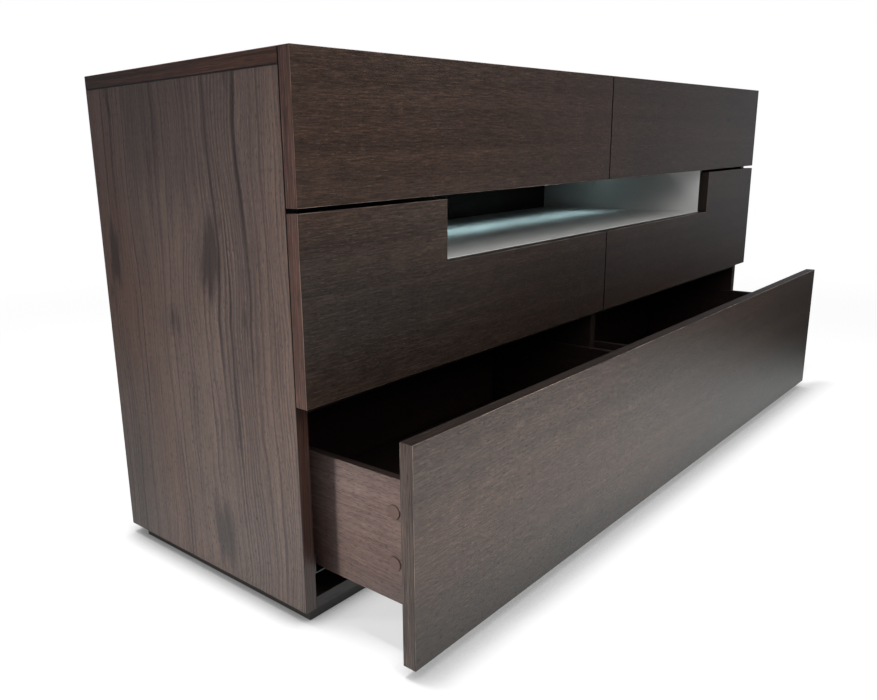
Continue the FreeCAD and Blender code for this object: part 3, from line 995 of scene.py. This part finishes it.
def rail_screws(looks):
    """Screws that hold the runner rails to the sides and the partitions."""
    screw = runner_screw()
    low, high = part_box("runner_rails")
    reaches = (low.y + RAIL_SCREW_INSET, (low.y + high.y) / 2, high.y - RAIL_SCREW_INSET)
    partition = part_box("upper_partition")
    walls = (
        (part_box("left_side_panel")[1].x, 1),
        (partition[0].x, -1),
        (partition[1].x, 1),
        (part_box("right_side_panel")[0].x, -1),
    )
    drawer_sides = ("top_left_drawer_left_side", "middle_left_drawer_left_side", "bottom_drawer_sides")
    bases = [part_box(side)[0].z for side in drawer_sides]
    spots = []
    for wall, sign in walls:
        for base in bases:
            for reach in reaches:
                place = Vector((wall + sign * RAIL_SHEET, reach, base + RAIL_SCREW_RISE))
                spots.append((place, turned_to("X", sign)))
    set_of(screw, "runner_screws", "carcass", looks["steel"], spots)
    bpy.data.objects.remove(screw, do_unlink=True)


# Stage, light and camera
def studio_paper():
    """Paper that is white to the camera, with a soft shadow, and a pool of light in reflections."""
    shader = Shader("studio_floor")
    path = shader.node("ShaderNodeLightPath")
    mirrored = path.outputs["Is Glossy Ray"]
    seen = highest(shader, [path.outputs[ray] for ray in SEEN_RAYS])
    place = shader.coordinates("Object")
    spot = shader.axes(place)
    reach = shader.node("ShaderNodeVectorMath", operation="DISTANCE")
    shader.feed(reach.inputs[0], place)
    reach.inputs[1].default_value = POOL_MIDDLE
    away = reach.outputs["Value"]

    pool = shader.math("MULTIPLY", shader.level(away, *POOL_FADE), shader.level(spot["Y"], *POOL_BACK_FADE))
    shadowed = shader.mix(mirrored, shader.level(away, *SHADOW_FADE), 0.0)
    even = shader.mix(mirrored, shader.level(away, *PAPER_FADE), pool)
    contact = openness(shader, CONTACT_REACH, CONTACT_FADE)
    soft = shader.node("ShaderNodeBsdfDiffuse")
    shader.feed(soft.inputs["Color"], shader.math("MULTIPLY", shadowed, contact))
    glow = shader.node("ShaderNodeEmission")
    shader.feed(glow.inputs["Color"], shader.tint(mirrored, WHITE, POOL_TINT))
    shader.feed(glow.inputs["Strength"], shader.math("MULTIPLY", even, contact))
    lifted = shader.node("ShaderNodeAddShader")
    shader.feed(lifted.inputs[0], soft.outputs[0])
    shader.feed(lifted.inputs[1], glow.outputs[0])

    towards_back = shader.math("MULTIPLY", shader.math("ADD", spot["X"], spot["Y"]), DIAGONAL)
    paper = shader.node("ShaderNodeBsdfDiffuse")
    shader.feed(paper.inputs["Color"], shader.level(towards_back, *BOUNCE_FADE))
    both = shader.node("ShaderNodeMixShader")
    shader.feed(both.inputs[0], seen)
    shader.feed(both.inputs[1], paper.outputs[0])
    shader.feed(both.inputs[2], lifted.outputs[0])
    shader.feed(shader.output.inputs["Surface"], both.outputs[0])
    return shader.material


def studio_floor():
    """A wide sheet of pale paper under the chest."""
    bpy.ops.object.select_all(action="DESELECT")
    bpy.ops.mesh.primitive_plane_add(size=FLOOR_SIZE, location=(0.0, 0.0, 0.0))
    floor = bpy.context.object
    floor.name = "studio_floor"
    floor.data.materials.append(studio_paper())


def studio_room():
    """Dim walls round the set, which only reflections see."""
    bpy.ops.object.select_all(action="DESELECT")
    middle = (0.0, 0.0, ROOM_HEIGHT / 2)
    bpy.ops.mesh.primitive_cylinder_add(
        vertices=ROOM_SIDES, radius=ROOM_RADIUS, depth=ROOM_HEIGHT, end_fill_type="NOTHING", location=middle
    )
    room = bpy.context.object
    room.name = "studio_room"
    shader = Shader("studio_room")
    spot = shader.axes(shader.coordinates("Object"))
    towards_back = shader.level(spot["Y"], *ROOM_BACK_FADE)
    towards_right = shader.level(spot["X"], *ROOM_RIGHT_FADE)
    corner = shader.level(shader.math("ADD", spot["X"], spot["Y"]), *ROOM_CORNER_FADE)
    strength = shader.math("MULTIPLY", shader.math("MULTIPLY", towards_back, towards_right), corner)
    wall = shader.node("ShaderNodeEmission")
    wall.inputs["Color"].default_value = ROOM_TINT
    shader.feed(wall.inputs["Strength"], strength)
    shader.feed(shader.output.inputs["Surface"], wall.outputs[0])
    room.data.materials.append(shader.material)
    room.visible_camera = False
    room.visible_diffuse = False
    room.visible_shadow = False
    room.visible_transmission = False


def hang_lamp(name, place, size, power, spread, shape="RECTANGLE"):
    """A lamp that shines down and that no reflection shows."""
    light = bpy.data.lights.new(name, "AREA")
    light.shape = shape
    light.size, light.size_y = size
    light.energy = power
    light.spread = math.radians(spread)
    lamp = bpy.data.objects.new(name, light)
    lamp.location = place
    lamp.visible_glossy = False
    bpy.context.scene.collection.objects.link(lamp)
    return lamp


def studio_light():
    """White surroundings that light the chest at a low level, and the lamps, each turned to its aim."""
    world = bpy.data.worlds.new("studio")
    bpy.context.scene.world = world
    world.use_nodes = True
    nodes = Nodes(world.node_tree)
    path = nodes.node("ShaderNodeLightPath")
    seen = highest(nodes, [path.outputs[ray] for ray in SEEN_RAYS])
    background = nodes.tree.nodes["Background"]
    background.inputs["Color"].default_value = WHITE
    nodes.feed(background.inputs["Strength"], nodes.mix(seen, AMBIENT, 1.0))

    for kind in STUDIO_LAMPS:
        lamp = hang_lamp(kind.name, kind.place, kind.size, kind.power, kind.spread, kind.shape)
        towards = Vector(kind.aim) - Vector(kind.place)
        lamp.rotation_euler = towards.to_track_quat("-Z", "Y").to_euler()
        lamp.visible_camera = False


def niche_light():
    """The lit strip's own light on the niche floor, run by run."""
    low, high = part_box("led_diffuser")
    middle = (low.x + high.x) / 2
    half = (high.x - low.x) / 2
    for number, run in enumerate(STRIP_RUNS, 1):
        place = (middle + half * (run.near + run.far) / 2, (low.y + high.y) / 2, low.z - STRIP_DROP)
        size = (half * (run.far - run.near), high.y - low.y)
        lamp = hang_lamp(f"niche_strip_{number}", place, size, run.power, STRIP_SPREAD)
        lamp.data.color = STRIP_COLOUR


def photo_camera():
    """The camera at the photograph's place, turn, roll and optical centre."""
    azimuth = math.radians(CAMERA_AZIMUTH)
    tilt = math.radians(CAMERA_TILT)
    ahead = Vector((math.sin(azimuth) * math.cos(tilt), math.cos(azimuth) * math.cos(tilt), -math.sin(tilt)))
    right = Vector((math.cos(azimuth), -math.sin(azimuth), 0.0))
    above = right.cross(ahead)
    turn = Matrix((right, above, -ahead)).transposed().to_4x4()
    roll = Matrix.Rotation(math.radians(CAMERA_ROLL), 4, "Z")
    lens = bpy.data.cameras.new("photo_camera")
    lens.sensor_width = SENSOR_WIDTH
    lens.lens = FOCAL_PIXELS * SENSOR_WIDTH / PHOTO_WIDTH
    lens.shift_x = (PHOTO_WIDTH / 2 - OPTICAL_CENTRE[0]) / PHOTO_WIDTH
    lens.shift_y = (OPTICAL_CENTRE[1] - PHOTO_HEIGHT / 2) / PHOTO_WIDTH
    camera = bpy.data.objects.new("photo_camera", lens)
    bpy.context.scene.collection.objects.link(camera)
    camera.matrix_world = Matrix.Translation(CAMERA_PLACE) @ turn @ roll
    bpy.context.scene.camera = camera


LOOKS = finishes()
dress_nodes(LOOKS)
drawer_cam_caps(LOOKS)
front_bumpers(LOOKS)
rail_screws(LOOKS)
studio_floor()
studio_room()
studio_light()
niche_light()
photo_camera()
bpy.context.scene.view_settings.view_transform = "Standard"
